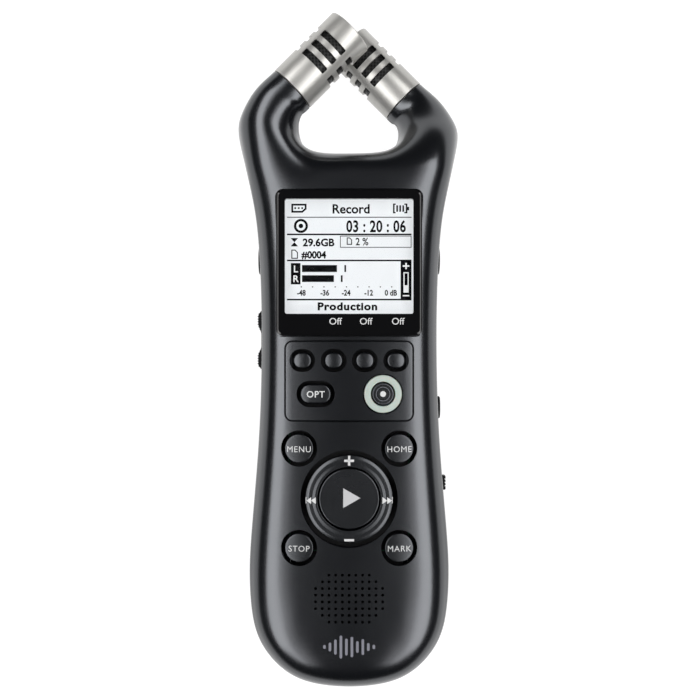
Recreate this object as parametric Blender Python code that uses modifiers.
"""Portable field recorder, lying on its back with the display facing up.

Frame: +X to the right of the display, +Y towards the microphones, +Z out of the display.
The origin lies on the surface that the recorder rests on, under the middle of its outline.
Sizes and places are in millimetres; the helpers turn them into Blender's metres.
"""

import math

import bmesh
import bpy
from mathutils import Matrix, Vector

MM = 0.001
GAP = 0.3  # clearance between neighbouring pieces
KEY_FOOT = 19.0  # underside of the keys, clear of the keypad by more than their travel
CUT_FLOOR = 20.0  # cutters of the front reach down to here, inside the hollow
CUT_TOP = 26.0  # and up to here, above the front
CUT_BELOW = -1.0  # cutters of the back start here, below the feet

# Casing: heights above the surface that it lies on
SEAM_HEIGHT = 12.2
FRONT_HEIGHT = 22.8
BACK_HEIGHT = 0.6
WALL = 1.8
SEAM_GAP = 0.4
INNER_FRONT = FRONT_HEIGHT - WALL
INNER_BACK = BACK_HEIGHT + WALL

# Casing: outline. The bottom end is half a superellipse, the rest follows width stations.
END_CENTRE = -53.4
END_LENGTH = 25.0
END_HALF_WIDTH = 23.4
END_POWER = 2.5
END_STEPS = 10  # an even number, because the middle of the end is a fan of quads
SIDE_STATIONS = (
    (-43.0, 23.05),
    (-26.0, 21.65),
    (-10.0, 20.8),
    (6.0, 20.6),
    (20.0, 21.0),
    (32.0, 22.05),
    (42.0, 24.1),
)
# Section, from the side seam to the centre line: inset at the sides, inset at the end, rise
SECTION = (
    (0.0, 0.0, 0.0),
    (0.6, 0.8, 0.60),
    (4.4, 4.6, 0.965),
    (13.0, 11.0, 1.0),
    (END_HALF_WIDTH, 15.0, 1.0),
)
MIDDLE_COLUMN = len(SECTION) - 1
COLUMNS = 2 * MIDDLE_COLUMN + 1

# Fork between the arms: half width, height of its middle and of its corners along Y
FORK_HALF_WIDTH = 8.7
FORK_Y = 46.8
FORK_CORNER_Y = 47.4
FORK_LIP = 0.95
FORK_RISE = 0.60

# Arms: each carries a microphone whose axis turns in by 45 degrees. The left arm lifts its
# microphone above the seam and the right arm drops it by as much, so that the two cross.
MIC_RADIUS = 5.8
MIC_OFFSET = 6.1
COLLAR_X = 13.4
COLLAR_Y = 60.7
COLLAR_ANGLE = 45.0
# x, y, direction, half width, half depth, offset from the seam height
ARM_STATIONS = (
    (18.75, 50.6, 88.0, 7.25, 8.9, 2.1),
    (18.35, 54.7, 80.0, 6.7, 7.4, 4.1),
    (16.4, 58.0, 64.0, 6.15, 6.3, 5.5),
    (14.25, 59.85, COLLAR_ANGLE, 5.87, 5.87, 6.05),
    (12.0, 62.1, COLLAR_ANGLE, MIC_RADIUS, MIC_RADIUS, MIC_OFFSET),
)
ARM_COLUMNS = 6

# Microphones
SLEEVE_LENGTH = 19.3
SLEEVE_WALL = 0.55
SLOT_START = 7.0
SLOT_PITCH = 2.95
SLOT_WIDTH = 1.65
SLOT_SPAN = 6.8
SLOT_ROWS = 3

# Display
DISPLAY_Y = 20.3
WINDOW_SIZE = (33.3, 33.2, 1.1)
WINDOW_TOP = 23.05
WINDOW_CORNER = 1.5
LCD_Y = 21.7
LCD_OPENING = (30.2, 27.2)

# Key plate and its keys
PLATE_Y = -6.7
PLATE_SIZE = (29.1, 18.0, 1.0)
PLATE_TOP = 22.75
PLATE_CORNER = 1.6
PLATE_OPENING = (26.1, 15.0)
SOFT_KEY_X = (-10.7, -3.55, 3.6, 10.75)
SOFT_KEY_Y = -2.0
SOFT_KEY_SIZE = (4.3, 3.64)
OPT_PLACE = (-7.65, -9.65)
OPT_SIZE = (7.2, 4.45)
RECORD_PLACE = (7.75, -9.65)
RECORD_RADIUS = 2.5
LIGHT_RING = (2.8, 4.33)
KEY_TOP = 22.95
DISH_DEPTH = 0.35
DISH_BORDER = 0.7

# Round keys and the four-way ring
ROUND_KEYS = {
    "menu_key": (-11.45, -22.1),
    "home_key": (11.45, -22.1),
    "stop_key": (-11.45, -44.8),
    "mark_key": (11.45, -44.8),
}
ROUND_KEY_RADIUS = 3.3
ROUND_WELL_RADIUS = 4.1
RING_Y = -33.6
RING_RADII = (7.3, 10.0)
RING_WELL_RADIUS = 11.2
WELL_SLOPE_DEPTH = 0.7
RING_FOOT = 19.9
PLAY_RADIUS = 6.95
PLAY_TOP = 22.5
RING_TOP = 22.95
RING_PIVOT = 21.0
GIMBAL_RADII = (7.6, 9.6)
GIMBAL_HEIGHTS = (18.6, 19.4)

# Side controls, on the seam
ROCKER_Y = 2.75
ROCKER_HALF_LENGTH = 6.95
ROCKER_AXIS_X = -19.2
POWER_Y = -13.2
HOLD_Y = -31.0
HOLD_TRAVEL = 3.5
JACK_Y = 21.7
JACK_COLLAR_X = 21.35
JACK_BARREL_RADIUS = 3.4

# Inside
BOARD_HEIGHTS = (15.4, 17.0)
KEYPAD_HEIGHTS = (17.3, 18.1)
CELL_RADIUS = 5.15
CELL_X = 5.75
CELL_HEIGHT = 7.95
CELL_ENDS = (-65.5, -21.4)
TRAY_ENDS = (-68.6, -18.3)
TRAY_HALF_WIDTH = 12.7
SPEAKER_Y = -56.3
GRILLE_ROWS = (7, 9, 11, 11, 11, 11, 9, 7)
GRILLE_PITCH = 1.53
GRILLE_HOLE_RADIUS = 0.33
POST_RADII = (2.6, 2.9)  # front posts and rear posts for the screws
POST_ROOT = 0.35  # how far a post reaches into the wall
SCREW_HOLE_RADIUS = 1.2
SCREW_HEAD_HOLE = (2.3, 3.0)
BUSH_Y = 24.0
BUSH_RADIUS = 4.6

# Battery cover, port flap, feet and screws
COVER_HALF_WIDTH = 13.2
COVER_TOP_Y = -16.5
COVER_HEIGHT = 7.5
FLAP_ENDS = (-8.0, 16.0)
FLAP_HEIGHTS = (4.9, 11.0)
FLAP_AXIS_X = 20.0
FOOT_RADIUS = 3.2
FOOT_SEAT = 1.5
FEET = {
    "foot_1": (-11.0, 36.0),
    "foot_2": (11.0, 36.0),
    "foot_3": (-8.6, -64.0),
    "foot_4": (8.6, -64.0),
}
SCREWS = {
    "housing_screw_1": (-16.6, 40.5),
    "housing_screw_2": (16.6, 40.5),
    "housing_screw_3": (-16.9, -50.0),
    "housing_screw_4": (16.9, -50.0),
}

for old in list(bpy.data.objects):
    bpy.data.objects.remove(old, do_unlink=True)

PARTS = bpy.data.collections.new("field_recorder")
CUTTERS = bpy.data.collections.new("cutters")
for collection in (PARTS, CUTTERS):
    bpy.context.scene.collection.children.link(collection)

# Materials: base colour, roughness, metallic
FINISHES = {
    "casing": ((0.012, 0.013, 0.015), 0.33, 0.0),
    "key": ((0.010, 0.011, 0.013), 0.42, 0.0),
    "glass": ((0.02, 0.02, 0.022), 0.08, 0.0),
    "display": ((0.80, 0.82, 0.84), 0.5, 0.0),
    "light_guide": ((0.55, 0.66, 0.58), 0.35, 0.0),
    "sleeve_metal": ((0.62, 0.60, 0.55), 0.28, 1.0),
    "mesh_metal": ((0.03, 0.03, 0.03), 0.6, 1.0),
    "steel": ((0.55, 0.56, 0.57), 0.3, 1.0),
    "brass": ((0.62, 0.48, 0.22), 0.3, 1.0),
    "board": ((0.02, 0.12, 0.06), 0.5, 0.0),
    "rubber": ((0.02, 0.02, 0.02), 0.75, 0.0),
    "plastic": ((0.05, 0.05, 0.055), 0.5, 0.0),
    "cell": ((0.18, 0.19, 0.21), 0.3, 0.6),
}


def finish(name):
    """The material of this name, made on first use."""
    material = bpy.data.materials.get(name)
    if material:
        return material
    colour, roughness, metallic = FINISHES[name]
    material = bpy.data.materials.new(name)
    material.use_nodes = True
    shader = material.node_tree.nodes["Principled BSDF"]
    shader.inputs["Base Color"].default_value = (*colour, 1.0)
    shader.inputs["Roughness"].default_value = roughness
    shader.inputs["Metallic"].default_value = metallic
    return material


def place(name, bm, origin, collection, turn=None):
    """An object from a mesh in millimetres about its own origin."""
    bmesh.ops.scale(bm, vec=(MM, MM, MM), verts=bm.verts)
    mesh = bpy.data.meshes.new(name)
    bm.to_mesh(mesh)
    bm.free()
    obj = bpy.data.objects.new(name, mesh)
    obj.location = Vector(origin) * MM
    if turn:
        obj.rotation_mode = "QUATERNION"
        obj.rotation_quaternion = turn
    collection.objects.link(obj)
    return obj


def part(name, bm, material, origin=(0, 0, 0), turn=None):
    """A named sub-part with its finish."""
    obj = place(name, bm, origin, PARTS, turn)
    obj.data.materials.append(finish(material))
    obj.data.shade_smooth()
    obj.data.set_sharp_from_angle(angle=math.radians(35))
    return obj


def tool(name, bm, origin=(0, 0, 0), turn=None):
    """A cutter, which is never rendered."""
    obj = place(name, bm, origin, CUTTERS, turn)
    obj.hide_render = True
    obj.display_type = "WIRE"
    return obj


def boolean(target, other, operation):
    modifier = target.modifiers.new(other.name, "BOOLEAN")
    modifier.operation = operation
    modifier.solver = "EXACT"
    modifier.object = other


def cut(target, other):
    boolean(target, other, "DIFFERENCE")


def tool_group(name):
    """A collection of cutters that act on one target in a single step."""
    group = bpy.data.collections.new(name)
    CUTTERS.children.link(group)
    return group


def boolean_group(target, group, operation):
    modifier = target.modifiers.new(group.name, "BOOLEAN")
    modifier.operation = operation
    modifier.solver = "EXACT"
    modifier.operand_type = "COLLECTION"
    modifier.collection = group


def add_tools(tools, *groups):
    for item in tools:
        for group in groups:
            group.objects.link(item)


def block(low, high, corner=0.0, along=2, steps=3):
    """A box between two corners, its edges along one axis rounded."""
    bm = bmesh.new()
    bmesh.ops.create_cube(bm, size=1.0)
    size = [high[i] - low[i] for i in range(3)]
    middle = [(high[i] + low[i]) / 2 for i in range(3)]
    bmesh.ops.scale(bm, vec=size, verts=bm.verts)
    bmesh.ops.translate(bm, vec=middle, verts=bm.verts)
    if corner:
        edges = [
            edge
            for edge in bm.edges
            if abs((edge.verts[0].co - edge.verts[1].co)[along]) > size[along] * 0.9
        ]
        bmesh.ops.bevel(
            bm, geom=edges, offset=corner, segments=steps, profile=0.5, affect="EDGES"
        )
    return bm


def pill(length, width, low, high, steps=3):
    """An upright block with fully rounded ends, centred on the Z axis."""
    half = (length / 2, width / 2)
    corner = min(half) * 0.98
    return block((-half[0], -half[1], low), (half[0], half[1], high), corner, 2, steps)


def soften_top(bm, amount):
    """Chamfer the rim of the highest face."""
    top = max(vert.co.z for vert in bm.verts)
    rim = [e for e in bm.edges if all(abs(v.co.z - top) < 1e-4 for v in e.verts)]
    bmesh.ops.bevel(bm, geom=rim, offset=amount, segments=1, profile=0.5, affect="EDGES")
    return bm


def drum(radius, low, high, sides=24, top_radius=None):
    """An upright cylinder or cone on the Z axis."""
    bm = bmesh.new()
    bmesh.ops.create_cone(
        bm,
        cap_ends=True,
        segments=sides,
        radius1=radius,
        radius2=radius if top_radius is None else top_radius,
        depth=high - low,
    )
    bmesh.ops.translate(bm, vec=(0, 0, (high + low) / 2), verts=bm.verts)
    return bm


def profile(points, closed):
    """A profile in the XZ plane, listed down its outer side."""
    bm = bmesh.new()
    verts = [bm.verts.new((radius, 0, height)) for radius, height in points]
    for first, second in zip(verts, verts[1:]):
        bm.edges.new((first, second))
    if closed:
        bm.edges.new((verts[-1], verts[0]))
    return bm


def add_screw(obj, steps):
    """Turn an object's profile about its Z axis."""
    screw = obj.modifiers.new("turn", "SCREW")
    screw.axis = "Z"
    screw.angle = math.tau
    screw.steps = screw.render_steps = steps
    screw.use_merge_vertices = True
    screw.merge_threshold = 0.00001
    screw.use_smooth_shade = True


def turned(name, points, material, origin=(0, 0, 0), turn=None, steps=24, closed=True):
    """A turned sub-part, from its profile of (radius, height) points."""
    obj = part(name, profile(points, closed), material, origin, turn)
    add_screw(obj, steps)
    return obj


# ---------------------------------------------------------------- casing


def limit_point(vert, crease):
    """Where the subdivided surface passes for one cage vertex."""
    ends = [edge.other_vert(vert).co for edge in vert.link_edges if edge[crease] > 0]
    if ends:
        return (vert.co * 4 + ends[0] + ends[1]) / 6
    count = len(vert.link_edges)
    total = vert.co * count * count
    for edge in vert.link_edges:
        total = total + edge.other_vert(vert).co * 4
    for face in vert.link_faces:
        corners = list(face.verts)
        total = total + corners[(corners.index(vert) + 2) % 4].co
    return total / (count * (count + 5))


def fit_cage(bm, crease, rounds=3):
    """Move the cage until its subdivided surface passes close by the points it began with."""
    wanted = {vert: vert.co.copy() for vert in bm.verts}
    for _ in range(rounds):
        moves = {vert: wanted[vert] - limit_point(vert, crease) for vert in bm.verts}
        for vert, move in moves.items():
            vert.co += move


def end_point(step, column, inset):
    """x, y and rise of a cage point in the rounded bottom end, stepping round from the left."""
    side_inset, end_inset, rise = SECTION[column]
    angle = math.radians(90.0 - 180.0 * step / END_STEPS)
    power = 2.0 / END_POWER
    half_width = (END_HALF_WIDTH - inset) * (1.0 - side_inset / END_HALF_WIDTH)
    length = (END_LENGTH - inset) * (1.0 - end_inset / END_LENGTH)
    x = half_width * abs(math.sin(angle)) ** power
    y = length * max(math.cos(angle), 0.0) ** power
    return math.copysign(x, step - END_STEPS / 2), END_CENTRE - y, rise


def side_point(station, column, inset):
    """x, y and rise of a cage point along the body."""
    y, half_width = SIDE_STATIONS[station]
    side_inset, _, rise = SECTION[min(column, COLUMNS - 1 - column)]
    x = (half_width - inset) * (1.0 - side_inset / END_HALF_WIDTH)
    return math.copysign(x, column - MIDDLE_COLUMN), y, rise


def arm_point(station, column, side, facing, inset):
    """A cage point on an arm, from its outer seam (column 0) to its inner seam."""
    x, y, direction, half_width, half_depth, offset = ARM_STATIONS[station]
    angle = math.pi * column / (ARM_COLUMNS - 1)
    heading = math.radians(direction)
    across = (half_width - inset) * math.cos(angle)
    out = x + across * math.sin(heading)
    up = y + across * math.cos(heading)
    rise = SEAM_GAP / 2 + (half_depth - inset - SEAM_GAP / 2) * math.sin(angle)
    return Vector((side * out, up, SEAM_HEIGHT - side * offset + facing * rise))


def casing_sheet(bm, facing, inset):
    """The cage of one casing half's surface, this far inside its outer surface."""
    depth = FRONT_HEIGHT - SEAM_HEIGHT if facing > 0 else SEAM_HEIGHT - BACK_HEIGHT
    depth -= inset + SEAM_GAP / 2

    def vertex(x, y, rise):
        height = SEAM_HEIGHT + facing * (SEAM_GAP / 2 + depth * rise)
        return bm.verts.new((x, y, height))

    end = [
        [vertex(*end_point(step, column, inset)) for column in range(MIDDLE_COLUMN)]
        for step in range(END_STEPS + 1)
    ]
    hub = vertex(0.0, END_CENTRE, 1.0)
    rows = [[*end[0], hub, *reversed(end[-1])]]
    rows += [
        [vertex(*side_point(station, column, inset)) for column in range(COLUMNS)]
        for station in range(len(SIDE_STATIONS))
    ]
    top = rows[-1]
    middle = MIDDLE_COLUMN
    fork_x = (-FORK_HALF_WIDTH, 0.0, FORK_HALF_WIDTH)
    fork_y = (FORK_CORNER_Y - inset, FORK_Y - inset, FORK_CORNER_Y - inset)
    lip = [vertex(x, y - FORK_LIP, FORK_RISE) for x, y in zip(fork_x, fork_y)]
    seam = [vertex(x, y, 0.0) for x, y in zip(fork_x, fork_y)]
    grids = [end, rows, [top[middle - 1 : middle + 2], lip, seam]]
    starts = {
        -1: [*top[:middle], lip[0], seam[0]],
        1: [*reversed(top[middle + 1 :]), lip[2], seam[2]],
    }
    for side, start in starts.items():
        arm = [start]
        for station in range(len(ARM_STATIONS)):
            points = [
                arm_point(station, column, side, facing, inset)
                for column in range(ARM_COLUMNS)
            ]
            arm.append([bm.verts.new(point) for point in points])
        grids.append(arm if side < 0 else [row[::-1] for row in arm])
    for grid in grids:
        for lower, upper in zip(grid, grid[1:]):
            for i in range(len(lower) - 1):
                bm.faces.new((lower[i], lower[i + 1], upper[i + 1], upper[i]))
    for step in range(0, END_STEPS, 2):
        bm.faces.new((hub, end[step][-1], end[step + 1][-1], end[step + 2][-1]))


def casing_cage(facing):
    """Outer and inner surface of a casing half, joined by a flat rim along the seam."""
    bm = bmesh.new()
    crease = bm.edges.layers.float.new("crease_edge")
    casing_sheet(bm, facing, 0.0)
    outer = list(bm.verts)
    rim = [edge for edge in bm.edges if edge.is_boundary]
    casing_sheet(bm, facing, WALL)
    inner = dict(zip(outer, list(bm.verts)[len(outer) :]))
    for edge in rim:
        first, second = edge.verts
        bm.faces.new((first, second, inner[second], inner[first]))
        edge[crease] = 1.0
        bm.edges.get((inner[first], inner[second]))[crease] = 1.0
    bmesh.ops.recalc_face_normals(bm, faces=bm.faces)
    fit_cage(bm, crease)
    return bm


def casing_half(name, facing):
    """Half of the casing, smooth but for the edges of its seam."""
    shell = part(name, casing_cage(facing), "casing")
    smooth = shell.modifiers.new("smooth", "SUBSURF")
    smooth.levels = smooth.render_levels = 1
    shell.modifiers.new("triangles", "TRIANGULATE")
    return shell


def collar(side):
    """Where an arm ends: the centre of its face and the way its microphone points."""
    angle = math.radians(COLLAR_ANGLE)
    centre = Vector((side * COLLAR_X, COLLAR_Y, SEAM_HEIGHT - side * MIC_OFFSET))
    return centre, Vector((-side * math.cos(angle), math.sin(angle), 0.0))


def mic_turn(side):
    """The rotation that turns +Z along the microphone and keeps +X pointing up."""
    along = collar(side)[1]
    upright = Vector((0, 0, 1))
    return Matrix((upright, along.cross(upright), along)).transposed().to_quaternion()


def arm_end_tools():
    """Boxes that take off the ends of the arms, square to the microphones."""
    return [
        tool(f"arm_end_{word}", block((-8, -8, 0), (8, 8, 6)), collar(side)[0], mic_turn(side))
        for side, word in ((-1, "left"), (1, "right"))
    ]


def recess_tools(name, size, top, centre_y, corner, opening):
    """A recess for a plate set into the front, and the opening through its floor."""
    x, y = size[0] / 2 + GAP, size[1] / 2 + GAP
    floor = top - size[2] - GAP
    seat = block((-x, centre_y - y, floor), (x, centre_y + y, CUT_TOP), corner + GAP)
    (opening_x, opening_y), opening_centre = opening
    low = (-opening_x / 2, opening_centre - opening_y / 2, CUT_FLOOR)
    high = (opening_x / 2, opening_centre + opening_y / 2, CUT_TOP)
    return [tool(f"{name}_recess", seat), tool(f"{name}_opening", block(low, high, 0.8))]


def well_tool(name, place, radius, brim, sides):
    """A hole for a round key, with a slope from its brim down to the hole."""
    hole = radius + GAP
    low, high = FRONT_HEIGHT - WELL_SLOPE_DEPTH, FRONT_HEIGHT + 1.0
    widest = hole + (brim - hole) * (high - low) / WELL_SLOPE_DEPTH
    points = ((0, high), (widest, high), (hole, low), (hole, CUT_FLOOR), (0, CUT_FLOOR))
    well = tool(f"{name}_well", profile(points, False), (*place, 0))
    add_screw(well, sides)
    return well


def round_well_tools():
    tools = [
        well_tool(name, place, ROUND_KEY_RADIUS, ROUND_WELL_RADIUS, 20)
        for name, place in ROUND_KEYS.items()
    ]
    tools.append(well_tool("ring", (0.0, RING_Y), RING_RADII[1], RING_WELL_RADIUS, 36))
    return tools


def slot_tool(name, side, place_y, span_y, half_height, corner):
    """A slot through one side wall, on the seam."""
    inner, outer = 17.0, 26.0
    x = sorted((side * inner, side * outer))
    low = (x[0], place_y + span_y[0], SEAM_HEIGHT - half_height)
    high = (x[1], place_y + span_y[1], SEAM_HEIGHT + half_height)
    return tool(name, block(low, high, corner, 0))


def side_tools():
    """Slots for the controls on the seam, and the round holes for the jacks."""
    rocker = ROCKER_HALF_LENGTH + GAP
    tools = [
        slot_tool("rocker_slot", -1, ROCKER_Y, (-rocker, rocker), 2.5, 0.8),
        slot_tool("power_slot", 1, POWER_Y, (-2.95, 2.95), 1.8, 1.6),
        slot_tool("hold_slot", 1, HOLD_Y, (-2.0, 2.0 + HOLD_TRAVEL), 1.6, 0.6),
    ]
    for side, word in ((-1, "left"), (1, "right")):
        bore = drum(JACK_BARREL_RADIUS + GAP, 17, CUT_TOP, 16)
        turn = Vector((side, 0, 0)).to_track_quat("Z", "Y")
        tools.append(tool(f"jack_hole_{word}", bore, (0, JACK_Y, SEAM_HEIGHT), turn))
    return tools


def grille_tool():
    """Small holes over the speaker, in rows of different lengths."""
    bm = bmesh.new()
    height = CUT_TOP - CUT_FLOOR
    for row, count in enumerate(GRILLE_ROWS):
        y = SPEAKER_Y + (row - (len(GRILLE_ROWS) - 1) / 2) * GRILLE_PITCH
        for column in range(count):
            x = (column - (count - 1) / 2) * GRILLE_PITCH
            bmesh.ops.create_cone(
                bm,
                cap_ends=True,
                segments=6,
                radius1=GRILLE_HOLE_RADIUS,
                radius2=GRILLE_HOLE_RADIUS,
                depth=height,
                matrix=Matrix.Translation((x, y, CUT_FLOOR + height / 2)),
            )
    return tool("grille_holes", bm)


def screw_tools(front_posts, rear_posts, front_cuts, rear_cuts):
    """A post in each half of the casing for every screw, and the screw's hole."""
    head_radius, head_seat = SCREW_HEAD_HOLE
    for name, (x, y) in SCREWS.items():
        upper = drum(POST_RADII[0], SEAM_HEIGHT + 0.6, INNER_FRONT + POST_ROOT, 12)
        lower = drum(POST_RADII[1], INNER_BACK - POST_ROOT, SEAM_HEIGHT - 0.6, 12)
        hole = drum(SCREW_HOLE_RADIUS, CUT_BELOW, KEY_FOOT, 12)
        head = drum(head_radius, CUT_BELOW, head_seat, 12)
        add_tools([tool(f"{name}_upper_post", upper, (x, y, 0))], front_posts)
        add_tools([tool(f"{name}_lower_post", lower, (x, y, 0))], rear_posts)
        add_tools([tool(f"{name}_hole", hole, (x, y, 0))], front_cuts, rear_cuts)
        add_tools([tool(f"{name}_head_hole", head, (x, y, 0))], rear_cuts)


def build_casing():
    front = casing_half("front_casing", 1)
    rear = casing_half("rear_casing", -1)
    cover = split_off(rear, "battery_cover", "casing")
    flap = split_off(rear, "port_flap", "rubber")
    names = ("front_cuts", "rear_cuts", "cover_cuts", "front_posts", "rear_posts")
    front_cuts, rear_cuts, cover_cuts, front_posts, rear_posts = map(tool_group, names)
    add_tools(arm_end_tools() + side_tools(), front_cuts, rear_cuts)
    lcd, keys = (LCD_OPENING, LCD_Y), (PLATE_OPENING, PLATE_Y)
    window = recess_tools("window", WINDOW_SIZE, WINDOW_TOP, DISPLAY_Y, WINDOW_CORNER, lcd)
    plate = recess_tools("plate", PLATE_SIZE, PLATE_TOP, PLATE_Y, PLATE_CORNER, keys)
    add_tools(window + plate + round_well_tools() + [grille_tool()], front_cuts)
    screw_tools(front_posts, rear_posts, front_cuts, rear_cuts)

    bush = tool("bush_hole", drum(BUSH_RADIUS + GAP, CUT_BELOW, 4, 16), (0, BUSH_Y, 0))
    add_tools([bush], rear_cuts)
    for name, (x, y) in FEET.items():
        seat = drum(FOOT_RADIUS + GAP, CUT_BELOW, FOOT_SEAT, 14)
        seat = tool(f"{name}_seat", seat, (x, y, 0))
        add_tools([seat], cover_cuts if y < COVER_TOP_Y else rear_cuts)

    x, y, height = COVER_HALF_WIDTH, COVER_TOP_Y, COVER_HEIGHT
    beyond, below = -90.0, -5.0
    opening = block((-x, beyond, below), (x, y, height))
    outline = block((GAP - x, beyond, below), (x - GAP, y - GAP, height - GAP))
    add_tools([tool("cover_opening", opening)], rear_cuts)
    boolean(cover, tool("cover_outline", outline), "INTERSECT")
    boolean_group(cover, cover_cuts, "DIFFERENCE")
    (start, end), (low, high) = FLAP_ENDS, FLAP_HEIGHTS
    inside, outside = 15.0, 26.0
    opening = block((inside, start, low), (outside, end, high), 1.5, 0)
    low_corner = (inside, start + GAP, low + GAP)
    outline = block(low_corner, (outside, end - GAP, high - GAP), 1.2, 0)
    add_tools([tool("flap_opening", opening)], rear_cuts)
    boolean(flap, tool("flap_outline", outline), "INTERSECT")
    halves = ((front, front_posts, front_cuts), (rear, rear_posts, rear_cuts))
    for shell, posts, cuts in halves:
        boolean_group(shell, posts, "UNION")
        boolean_group(shell, cuts, "DIFFERENCE")
    move_origin(cover, (0, y, BACK_HEIGHT))
    move_origin(flap, (FLAP_AXIS_X, (start + end) / 2, low))


def split_off(rear, name, material):
    """A copy of the rear casing, from which a piece is then cut out."""
    piece = rear.copy()
    piece.data = rear.data.copy()
    piece.name = piece.data.name = name
    piece.data.materials.clear()
    piece.data.materials.append(finish(material))
    PARTS.objects.link(piece)
    return piece


def move_origin(obj, origin):
    """Put an object's origin on its joint's axis, leaving its shape where it is."""
    shift = Vector(origin) * MM
    obj.data.transform(Matrix.Translation(-shift))
    obj.location = shift


# ---------------------------------------------------------------- fixed pieces


def build_display():
    x, y, thick = WINDOW_SIZE[0] / 2, WINDOW_SIZE[1] / 2, WINDOW_SIZE[2]
    low = (-x, DISPLAY_Y - y, WINDOW_TOP - thick)
    window = block(low, (x, DISPLAY_Y + y, WINDOW_TOP), WINDOW_CORNER)
    part("display_window", soften_top(window, 0.35), "glass")
    part("lcd_panel", block((-15.4, 5.4, 18.7), (15.4, 36.0, 20.4), 0.4), "display")
    part("lcd_backlight", block((-15.4, 5.4, 17.3), (15.4, 36.0, 18.4), 0.4), "plastic")


def build_key_plate():
    x, y, thick = PLATE_SIZE[0] / 2, PLATE_SIZE[1] / 2, PLATE_SIZE[2]
    low = (-x, PLATE_Y - y, PLATE_TOP - thick)
    plate = part("key_plate", block(low, (x, PLATE_Y + y, PLATE_TOP), PLATE_CORNER), "casing")
    holes = [(f"soft_{i + 1}", (x, SOFT_KEY_Y), SOFT_KEY_SIZE) for i, x in enumerate(SOFT_KEY_X)]
    holes.append(("opt", OPT_PLACE, OPT_SIZE))
    for name, spot, (length, width) in holes:
        around = 2 * GAP
        through = pill(length + around, width + around, CUT_FLOOR, CUT_TOP, 2)
        border = 2 * DISH_BORDER
        dish = pill(length + border, width + border, PLATE_TOP - DISH_DEPTH, CUT_TOP, 2)
        cut(plate, tool(f"{name}_hole", through, (*spot, 0)))
        cut(plate, tool(f"{name}_dish", dish, (*spot, 0)))
    ring_hole = drum(LIGHT_RING[1] + GAP, CUT_FLOOR, CUT_TOP, 20)
    cut(plate, tool("light_ring_hole", ring_hole, (*RECORD_PLACE, 0)))
    inner, outer = LIGHT_RING
    top, foot = PLATE_TOP + 0.1, KEY_FOOT
    points = ((outer, top - 0.2), (outer, foot), (inner, foot), (inner, top), (outer - 0.2, top))
    turned("record_light_ring", points, "light_guide", (*RECORD_PLACE, 0))


def build_microphones():
    for side, word in ((-1, "left"), (1, "right")):
        centre, turn = collar(side)[0], mic_turn(side)
        bore = MIC_RADIUS - SLEEVE_WALL
        lip = 4.6
        chamfer = 0.3
        floor = 1.2
        spigot, wire_hole, depth = 3.6, 2.8, -3.0
        points = (
            (MIC_RADIUS, SLEEVE_LENGTH - chamfer),
            (MIC_RADIUS, GAP),
            (spigot, GAP),
            (spigot, depth),
            (wire_hole, depth),
            (wire_hole, floor),
            (bore, floor),
            (bore, SLEEVE_LENGTH - 0.6),
            (lip, SLEEVE_LENGTH - 0.6),
            (lip, SLEEVE_LENGTH),
            (MIC_RADIUS - chamfer, SLEEVE_LENGTH),
        )
        sleeve = turned(f"mic_sleeve_{word}", points, "sleeve_metal", centre, turn, 18)
        for row in range(SLOT_ROWS):
            start = SLOT_START + row * SLOT_PITCH
            half = SLOT_SPAN / 2
            across = block((-8, -half, start), (8, half, start + SLOT_WIDTH))
            along = block((-half, -8, start), (half, 8, start + SLOT_WIDTH))
            cut(sleeve, tool(f"slot_{word}_{row}_a", across, centre, turn))
            cut(sleeve, tool(f"slot_{word}_{row}_b", along, centre, turn))
        liner = bore - GAP
        sheet = 0.3
        end = SLEEVE_LENGTH - 0.6 - GAP
        cup = (
            (0, end),
            (liner, end),
            (liner, 4.0),
            (liner - sheet, 4.0),
            (liner - sheet, end - sheet),
            (0, end - sheet),
        )
        turned(f"mic_mesh_{word}", cup, "mesh_metal", centre, turn, 20, False)
        turned(
            f"mic_capsule_{word}",
            ((0, 17.0), (3.0, 17.0), (3.0, 12.0), (0, 12.0)),
            "steel",
            centre,
            turn,
            16,
            False,
        )
        turned(
            f"mic_mount_{word}",
            ((4.3, 16.2), (4.3, 12.8), (3.3, 12.8), (3.3, 16.2)),
            "rubber",
            centre,
            turn,
            16,
        )


def build_electronics():
    low, high = BOARD_HEIGHTS
    part("main_board", block((-14.2, -46.5, low), (14.2, 37.0, high), 1.5), "board")
    low, high = KEYPAD_HEIGHTS
    part("keypad_base", block((-13.6, -46.0, low), (13.6, 3.6, high), 1.0), "rubber")
    part("shield_can", block((-7.4, 12.0, 13.3), (7.4, 34.0, 15.1), 0.8), "steel")
    driver = ((0, 20.3), (8.2, 20.3), (8.2, 18.6), (4.6, 17.4), (4.6, 15.6), (0, 15.6))
    turned("speaker_driver", driver, "steel", (0, SPEAKER_Y, 0), None, 24, False)
    part("speaker_cloth", drum(8.4, 20.6, 20.8, 20), "rubber", (0, SPEAKER_Y, 0))
    for side, name in ((-1, "phones_jack"), (1, "line_in_jack")):
        turn = Vector((side, 0, 0)).to_track_quat("Z", "Y")
        origin = (0, JACK_Y, SEAM_HEIGHT)
        jack = part(name, block((-3.4, -2.8, 8.2), (3.4, 2.8, 18.3), 0.4), "plastic", origin, turn)
        barrel = drum(JACK_BARREL_RADIUS, 17.8, JACK_COLLAR_X, 20)
        boolean(jack, tool(f"{name}_barrel", barrel, origin, turn), "UNION")
        cut(jack, tool(f"{name}_bore", drum(1.8, 9.6, 26, 12), origin, turn))


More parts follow.
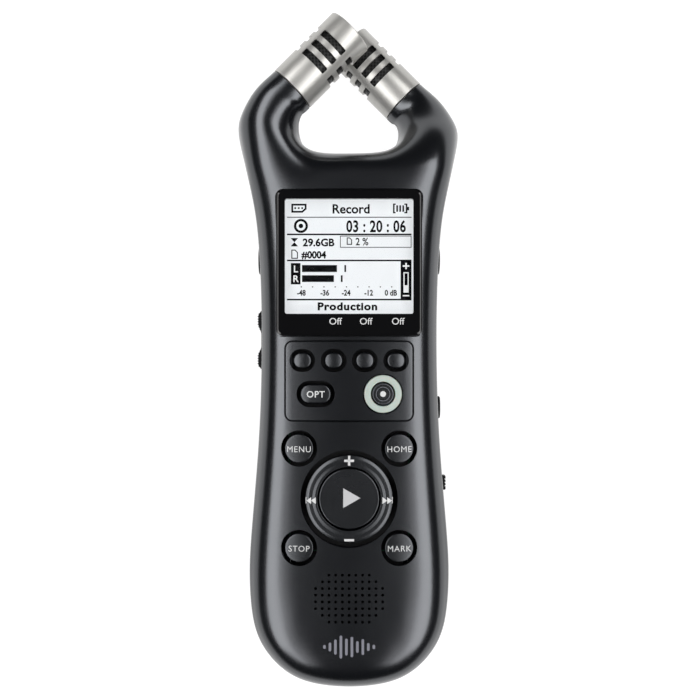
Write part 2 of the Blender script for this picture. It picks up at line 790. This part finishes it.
def build_ports():
    usb = part("usb_port", block((11.4, 5.4, 6.6), (18.0, 14.4, 9.8), 1.3, 0), "steel")
    cut(usb, tool("usb_cavity", block((12.8, 5.8, 7.0), (26, 14.0, 9.4), 1.1, 0)))
    socket = part("card_socket", block((4.0, -7.4, 7.0), (17.6, 4.6, 9.2), 0.4), "steel")
    cut(socket, tool("card_slot", block((5.0, -7.0, 7.4), (26, 4.2, 8.8))))
    part("memory_card", block((5.4, -6.6, 7.7), (18.1, 3.8, 8.5), 0.6), "plastic")


def build_battery_bay():
    start, end = TRAY_ENDS
    wall = 1.2
    half = TRAY_HALF_WIDTH
    base = INNER_BACK + GAP
    tray = part("battery_tray", block((-half, start, base), (half, end, 14.6), 2.0), "plastic")
    room = block((-half + wall, start + wall, -1), (half - wall, end - wall, 13.4))
    cut(tray, tool("tray_room", room))
    cell_start, cell_end = CELL_ENDS
    length = cell_end - cell_start
    nub, nub_radius, rim = 0.9, 1.9, 0.4
    points = (
        (0, length + nub),
        (nub_radius, length + nub),
        (nub_radius, length),
        (CELL_RADIUS - rim, length),
        (CELL_RADIUS, length - rim),
        (CELL_RADIUS, rim),
        (CELL_RADIUS - rim, 0),
        (0, 0),
    )
    plate = 0.4
    walls = (start + wall, end - wall)
    for side, word in ((-1, "left"), (1, "right")):
        flip = side > 0
        turn = Vector((0, -side, 0)).to_track_quat("Z", "Y")
        origin = (side * CELL_X, cell_end if flip else cell_start, CELL_HEIGHT)
        turned(f"cell_{word}", points, "cell", origin, turn, 20, False)
        plate_y = walls[0] + GAP if flip else walls[1] - GAP - plate
        low = (side * CELL_X - 4.0, plate_y, 4.0)
        high = (side * CELL_X + 4.0, plate_y + plate, 12.0)
        part(f"battery_contact_{word}", block(low, high), "steel")
        wall_y = walls[1] - GAP if flip else walls[0] + GAP
        cell_y = origin[1] + (GAP if flip else -GAP)
        build_spring(f"battery_spring_{word}", side * CELL_X, wall_y, cell_y)


def build_spring(name, x, wall_y, cell_y):
    """A conical battery spring, wide at the tray's wall and narrow at the cell."""
    turns, per_turn, wire = 2.5, 12, 0.25
    wide, narrow = 4.0, 2.0
    count = round(turns * per_turn)
    way = 1 if cell_y > wall_y else -1
    points = []
    for i in range(count + 1):
        share = i / count
        angle = math.tau * turns * share
        radius = wide + (narrow - wide) * share
        along = wall_y + way * wire + (cell_y - wall_y - way * 2 * wire) * share
        points.append((x + radius * math.cos(angle), along, CELL_HEIGHT + radius * math.sin(angle)))
    curve = bpy.data.curves.new(name, "CURVE")
    curve.dimensions = "3D"
    curve.bevel_depth = wire * MM
    curve.bevel_resolution = 1
    curve.use_fill_caps = True
    spline = curve.splines.new("POLY")
    spline.points.add(len(points) - 1)
    for target, point in zip(spline.points, points):
        target.co = (*(Vector(point) * MM), 1.0)
    curve.materials.append(finish("steel"))
    PARTS.objects.link(bpy.data.objects.new(name, curve))


def build_hardware():
    low, high = 0.9, 8.4
    points = ((BUSH_RADIUS, high), (BUSH_RADIUS, low), (3.0, low), (3.0, high))
    turned("tripod_bush", points, "brass", (0, BUSH_Y, 0), None, 20)
    for name, (x, y) in SCREWS.items():
        screw = ((0, 17.0), (0.9, 17.0), (0.9, 2.7), (2.0, 2.7), (2.0, 1.3), (0, 1.3))
        turned(name, screw, "steel", (x, y, 0), None, 12, False)
    for name, (x, y) in FEET.items():
        foot = ((0, 1.2), (FOOT_RADIUS, 1.2), (FOOT_RADIUS, 0.3), (FOOT_RADIUS - 0.3, 0), (0, 0))
        turned(name, foot, "rubber", (x, y, 0), None, 16, False)


# ---------------------------------------------------------------- moving pieces


def build_plate_keys():
    keys = [(f"soft_key_{i + 1}", (x, SOFT_KEY_Y), SOFT_KEY_SIZE) for i, x in enumerate(SOFT_KEY_X)]
    keys.append(("opt_key", OPT_PLACE, OPT_SIZE))
    for name, spot, size in keys:
        shape = pill(*size, KEY_FOOT - KEY_TOP, 0)
        part(name, soften_top(shape, 0.3), "key", (*spot, KEY_TOP))
    shape = drum(RECORD_RADIUS, KEY_FOOT - PLATE_TOP, 0, 20)
    part("record_key", soften_top(shape, 0.25), "key", (*RECORD_PLACE, PLATE_TOP))


def build_round_keys():
    for name, (x, y) in ROUND_KEYS.items():
        shape = drum(ROUND_KEY_RADIUS, KEY_FOOT - KEY_TOP, 0, 20)
        part(name, soften_top(shape, 0.35), "key", (x, y, KEY_TOP))
    top, dish = PLAY_TOP, 0.25
    foot = KEY_FOOT - top
    points = (
        (0, -dish),
        (PLAY_RADIUS - 0.6, 0),
        (PLAY_RADIUS, -0.3),
        (PLAY_RADIUS, foot),
        (0, foot),
    )
    turned("play_key", points, "key", (0, RING_Y, top), None, 28, False)
    inner, outer = RING_RADII
    top, pivot = RING_TOP, RING_PIVOT
    points = (
        (outer, top - 0.5),
        (outer, RING_FOOT),
        (inner, RING_FOOT),
        (inner, top - 0.45),
        (inner + 0.4, top - 0.15),
        (8.5, top - 0.35),
        (9.2, top),
        (9.6, top),
    )
    points = tuple((radius, height - pivot) for radius, height in points)
    turned("nav_ring", points, "key", (0, RING_Y, pivot), None, 32)
    inner, outer = GIMBAL_RADII
    low, high = (height - pivot for height in GIMBAL_HEIGHTS)
    points = ((outer, high), (outer, low), (inner, low), (inner, high))
    turned("nav_gimbal", points, "steel", (0, RING_Y, pivot), None, 28)


def build_side_controls():
    inner, flush, proud = 18.3, 20.2, 21.8
    half = 2.2
    low = (-flush, -ROCKER_HALF_LENGTH, -half)
    rocker = block(low, (-inner, ROCKER_HALF_LENGTH, half))
    lengths = {edge: (edge.verts[0].co - edge.verts[1].co).y for edge in rocker.edges}
    along = [edge for edge, length in lengths.items() if abs(length) > ROCKER_HALF_LENGTH]
    bmesh.ops.subdivide_edges(rocker, edges=along, cuts=9, use_grid_fill=True)
    for vert in rocker.verts:
        if vert.co.x < -(inner + flush) / 2:
            share = abs(vert.co.y) / ROCKER_HALF_LENGTH
            rise = max(0.0, min((share - 0.25) / 0.5, 1.0))
            drop = max(0.0, (share - 0.85) / 0.15) ** 2
            vert.co.x -= (proud - flush) * (rise - 0.6 * drop)
    bmesh.ops.translate(rocker, vec=(-ROCKER_AXIS_X, 0, 0), verts=rocker.verts)
    part("volume_rocker", rocker, "key", (ROCKER_AXIS_X, ROCKER_Y, SEAM_HEIGHT))

    power = block((-3.6, -2.65, -1.5), (0.5, 2.65, 1.5), 1.4, 0)
    part("power_key", power, "key", (21.15, POWER_Y, SEAM_HEIGHT))

    hold = block((-3.2, -1.7, -1.3), (0, 1.7, 1.3), 0.4, 0)
    switch = part("hold_switch", hold, "key", (22.85, HOLD_Y, SEAM_HEIGHT))
    teeth = 3
    for i in range(teeth):
        y = (i - (teeth - 1) / 2) * 0.9
        groove = block((-0.35, y - 0.2, -3), (2, y + 0.2, 3))
        cut(switch, tool(f"hold_groove_{i + 1}", groove, switch.location / MM))


build_casing()
build_display()
build_key_plate()
build_microphones()
build_electronics()
build_ports()
build_battery_bay()
build_hardware()
build_plate_keys()
build_round_keys()
build_side_controls()
